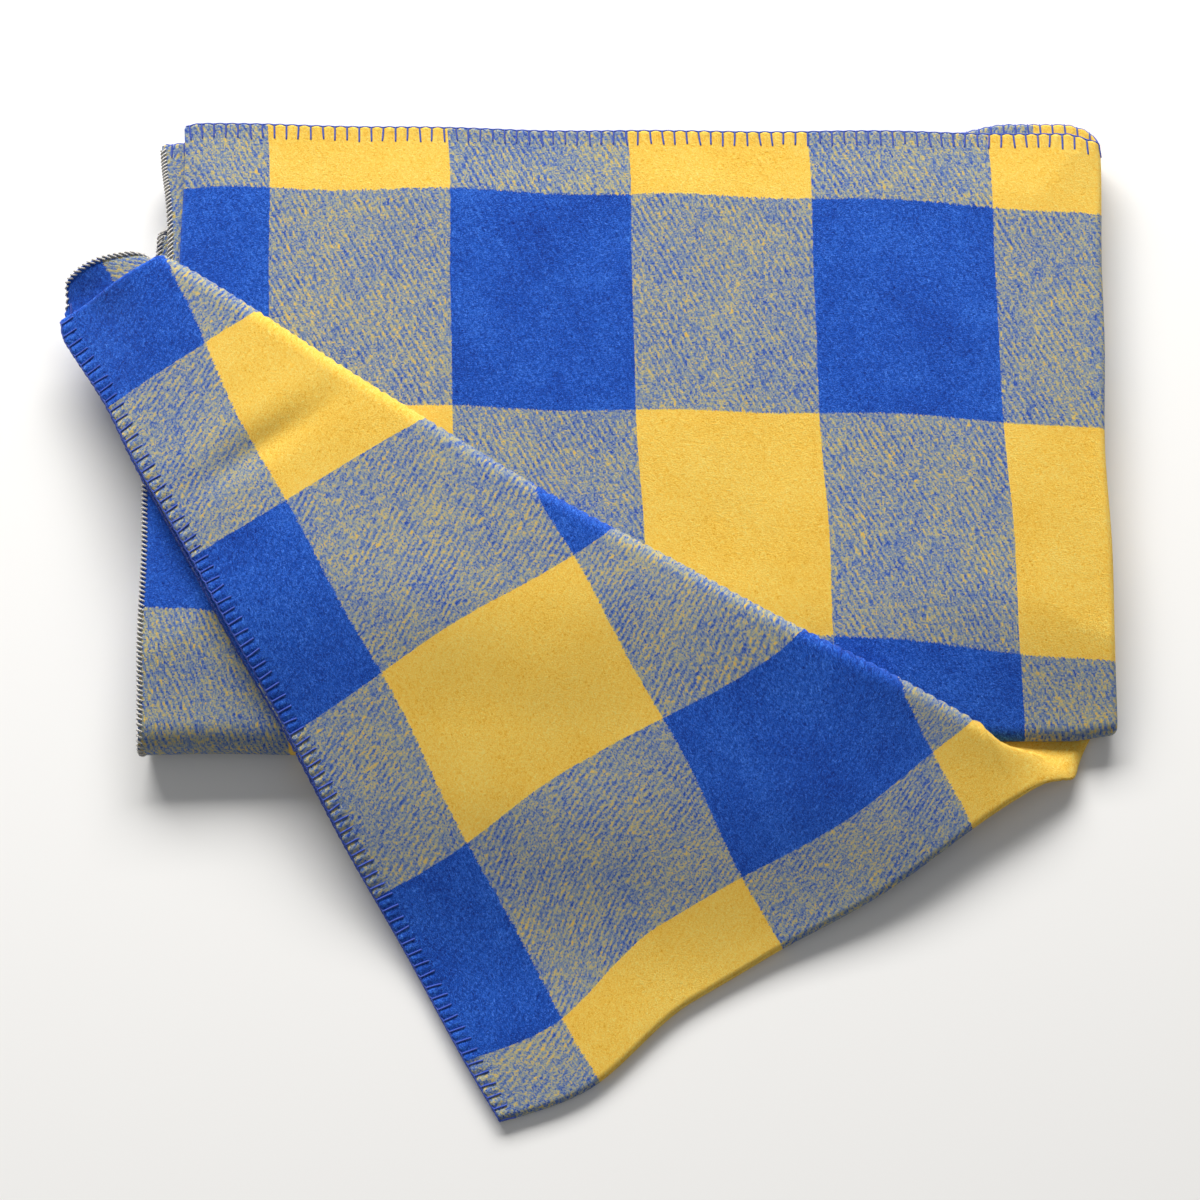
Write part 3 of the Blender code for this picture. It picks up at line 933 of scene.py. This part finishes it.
top_rows = steps(V_TOP, CLOTH_LENGTH - HEM, 0.004)
end_rows = CLOTH_LENGTH - hem_rows[::-1]
top_main = grid(across(0.004, 0.008, 0.004), top_rows)
top_hem = grid(hem_across, end_rows)
unturned, turned_main = divide(*top_main, past_crease)
tail_main, flap_main = divide(*turned_main, past_front)
tail_hem, flap_hem = divide(*top_hem, past_front)

blanket_top = cloth_piece("blanket_top", unturned, cloth)
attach(blanket_top, "stack")
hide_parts("top_panel")


def only(patch, low, high):
    """The faces of a patch whose middle lies between two values of u."""
    points, faces = patch
    kept = [f for f in faces if low <= points[f, 0].mean() < high]
    used = sorted({i for f in kept for i in f})
    number = {old: new for new, old in enumerate(used)}
    return points[used], [[number[i] for i in f] for f in kept]


# each layer of the corner: from and to u, height over the middle layer, and how far its bend leans back
LAYERS = {
    "corner_middle": (0, U_LEFT, 0.0, 0.005),
    "corner_outer": (U_LEFT, U_BACK, STEP, 0.008),
    "corner_inner": (U_BACK, CLOTH_WIDTH + 1, -STEP, 0.002),
}


def across_crease(obj):
    """Bakes obj's transform into its mesh; the bend round the crease already comes from place()."""
    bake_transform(obj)


def over_front(obj):
    """Bakes obj's transform into its mesh; the fall over the stack's front already comes from place()."""
    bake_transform(obj)


for name, (low, high, height, reach) in LAYERS.items():
    patch = join(only(flap_main, low, high), only(flap_hem, low, high), only(outer_bend_turned, low, high))
    obj = cloth_piece(name, patch, cloth)
    across_crease(obj)
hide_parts("corner_flap")

blanket_tail = cloth_piece("blanket_tail", join(tail_main, tail_hem), cloth)
over_front(blanket_tail)
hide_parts("flap_tail")

# ---------------------------------------------------------------- blanket stitch on both ends

chance = np.random.default_rng(7)


def stitch_legs(at_start):
    """One U of yarn through the cloth at every stitch, and the yarn that runs along the edge."""
    end = 0.0 if at_start else CLOTH_LENGTH
    inward = 1 if at_start else -1
    us = np.arange(0.5, CLOTH_WIDTH / STITCH_PITCH - 0.2) * STITCH_PITCH
    depth = STITCH_DEPTH * (1 + STITCH_UNEVEN * chance.standard_normal(len(us)))
    lean = STITCH_LEAN * chance.standard_normal(len(us))
    reach = np.array([1.0, 0.94, 0.75, 0.5, 0.28, 0.12, 0.04])
    lines = []
    for side in (1.0, -1.0):
        t = reach if side > 0 else reach[::-1]
        uu = us[:, None] + lean[:, None] * (t[None] ** 1.5)
        vv = end + inward * depth[:, None] * t[None]
        p = surface(uu, vv, side)
        n = surface_normal(uu, vv, side)
        sink = np.where(t > 0.98, -0.0007, 0.00030)
        lines.append(p + n * sink[None, :, None])
    mid, du, dv, _ = frame_at(us, np.full_like(us, end))
    turn = mid - inward * dv * 0.0007
    legs = np.concatenate([lines[0], turn[:, None], lines[1]], 1)
    leg_refs = np.repeat(du[:, None], legs.shape[1], 1)
    # yarn along the edge
    ue = np.arange(0.25, CLOTH_WIDTH / STITCH_PITCH * PER_STITCH - 1) * STITCH_PITCH / PER_STITCH
    mid, _, dv, n = frame_at(ue, np.full_like(ue, end))
    puff = stitch_puff(ue)
    edge = mid - inward * dv * (0.0003 + 0.0006 * puff)[:, None] + n * (0.0007 - 0.0005 * puff)[:, None]
    return legs, leg_refs, edge, n


def runs_of(mask):
    """Unbroken runs of True, as slices."""
    out, start = [], None
    for i, m in enumerate(mask):
        if m and start is None:
            start = i
        if not m and start is not None:
            out.append(slice(start, i))
            start = None
    if start is not None:
        out.append(slice(start, len(mask)))
    return [s for s in out if s.stop - s.start > 1]


def stitching(name, legs, leg_refs, edge, edge_refs, leg_mask, edge_mask):
    """One piece of the stitching: the legs and the stretches of edge yarn that the masks pick."""
    lines = list(legs[leg_mask])
    references = list(leg_refs[leg_mask])
    for run in runs_of(edge_mask):
        lines.append(edge[run])
        references.append(edge_refs[run])
    return tubes(name, lines, YARN_RADIUS, references, 6, yarn)


first_end = stitch_legs(True)
end_stitch_stack = stitching("end_stitch_stack", *first_end, np.ones(len(first_end[0]), bool), np.ones(len(first_end[2]), bool))
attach(end_stitch_stack, "stack")
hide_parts("end_stitching_upper")

last_end = stitch_legs(False)
leg_on_stack = last_end[0][:, 7, 1] > 0  # by where each leg turns round the edge
edge_on_stack = last_end[2][:, 1] > 0
end_stitch_corner = stitching("end_stitch_corner", *last_end, leg_on_stack, edge_on_stack)
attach(end_stitch_corner, "flap")
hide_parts("end_stitching_flap")
end_stitch_tail = stitching("end_stitch_tail", *last_end, ~leg_on_stack, ~edge_on_stack)
over_front(end_stitch_tail)
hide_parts("end_stitching_tail")

# ---------------------------------------------------------------- overlocked side edges


def overlock(edge_u, v_from, v_to, pitch=OVERLOCK_PITCH, per_turn=8):
    """Yarn wound round a side edge, slanting like a twist."""
    turns = (v_to - v_from) / pitch
    w = np.linspace(0, turns, int(turns * per_turn) + 1)
    inward = 1 if edge_u < CLOTH_WIDTH / 2 else -1
    angle = 2 * math.pi * w
    u = edge_u + inward * (OVERLOCK_REACH * (0.62 - np.cos(angle)))
    u_mid = np.clip(u, 0, CLOTH_WIDTH)
    v = v_from + w * pitch + OVERLOCK_SLANT * np.cos(angle)
    p, du, dv, n = frame_at(u_mid, v)
    beyond = (u - u_mid)[:, None] * du
    line = p + beyond + n * (OVERLOCK_DEPTH * np.sin(angle))[:, None]
    return line, dv, v


def overlock_piece(name, line, refs, runs, sides):
    """The stretches of one overlocked edge that runs picks, as one piece."""
    return tubes(name, [line[r] for r in runs], OVERLOCK_RADIUS, [refs[r] for r in runs], sides, yarn, kind=OVERLOCK_KIND)


hidden_line, hidden_refs, _ = overlock(0.0, OVERLOCK_END, V_OUTER - OVERLOCK_END, pitch=HIDDEN_PITCH, per_turn=6)
tucked = overlock_piece("tucked_overlock", hidden_line, hidden_refs, [slice(None)], 4)
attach(tucked, "stack")
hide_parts("tucked_overlock_lower", "tucked_overlock_middle", "tucked_overlock_upper")

side_line, side_refs, side_v = overlock(CLOTH_WIDTH, OVERLOCK_END, CLOTH_LENGTH - OVERLOCK_END)
turned_side = past_crease(np.full_like(side_v, CLOTH_WIDTH - 0.001), np.minimum(side_v, CLOTH_LENGTH)) > 0
turned_side &= side_v > V_TOP
side_overlock = overlock_piece("side_overlock", side_line, side_refs, runs_of(~turned_side), 5)
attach(side_overlock, "stack")
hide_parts("side_overlock_lower", "side_overlock_middle", "side_overlock_upper", "side_overlock_top")
side_overlock_corner = overlock_piece("side_overlock_corner", side_line, side_refs, runs_of(turned_side), 5)
across_crease(side_overlock_corner)
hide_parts("side_overlock_flap")

# ---------------------------------------------------------------- stage, light and camera


def plain(name, colour, roughness):
    g = Graph(name)
    g.shader.inputs["Base Color"].default_value = colour + (1.0,)
    g.shader.inputs["Roughness"].default_value = roughness
    g.shader.inputs["Specular IOR Level"].default_value = 0.1
    return g.material


bpy.ops.mesh.primitive_plane_add(size=12, location=(0, 0, 0))
floor = bpy.context.object
floor.name = "floor"
floor.data.materials.append(plain("paper", (0.86, 0.855, 0.845), 0.9))


def area_light(name, place_at, aim, size, watts, colour=(1, 1, 1)):
    data = bpy.data.lights.new(name, "AREA")
    data.shape = "RECTANGLE"
    data.size, data.size_y = size
    data.energy = watts
    data.color = colour
    lamp = bpy.data.objects.new(name, data)
    lamp.location = place_at
    lamp.rotation_euler = (Vector(aim) - Vector(place_at)).to_track_quat("-Z", "Y").to_euler()
    bpy.context.scene.collection.objects.link(lamp)
    return lamp


# a wide soft box behind the blanket, which shades the front of the pile, and a little fill from the front left
area_light("key", (-0.50, 3.75, 1.95), (0, 0, 0), (4.2, 1.4), 400, (1.0, 0.985, 0.96))
area_light("fill", (-1.6, -1.2, 2.4), (0, 0, 0), (2.4, 2.4), 4, (0.95, 0.97, 1.0))
world = bpy.data.worlds.new("studio")
bpy.context.scene.world = world
world.use_nodes = True
background = world.node_tree.nodes["Background"]
background.inputs["Color"].default_value = (0.98, 0.99, 1.0, 1.0)
background.inputs["Strength"].default_value = 0.235

CAMERA_AIM = Vector((0.0119, 0.0023, 0.03))
CAMERA_HEIGHT_ANGLE = math.radians(77.5)
CAMERA_DISTANCE = 2.20
CAMERA_LENS = 100.76
camera_data = bpy.data.cameras.new("camera")
camera_data.lens = CAMERA_LENS
camera_data.sensor_width = 36
camera = bpy.data.objects.new("camera", camera_data)
back = Vector((0, -math.cos(CAMERA_HEIGHT_ANGLE), math.sin(CAMERA_HEIGHT_ANGLE)))
camera.location = CAMERA_AIM + back * CAMERA_DISTANCE
camera.rotation_mode = "QUATERNION"
camera.rotation_quaternion = (-back).to_track_quat("-Z", "Y")
bpy.context.scene.collection.objects.link(camera)
bpy.context.scene.camera = camera
bpy.context.scene.view_settings.view_transform = "Standard"
bpy.context.scene.view_settings.look = "None"
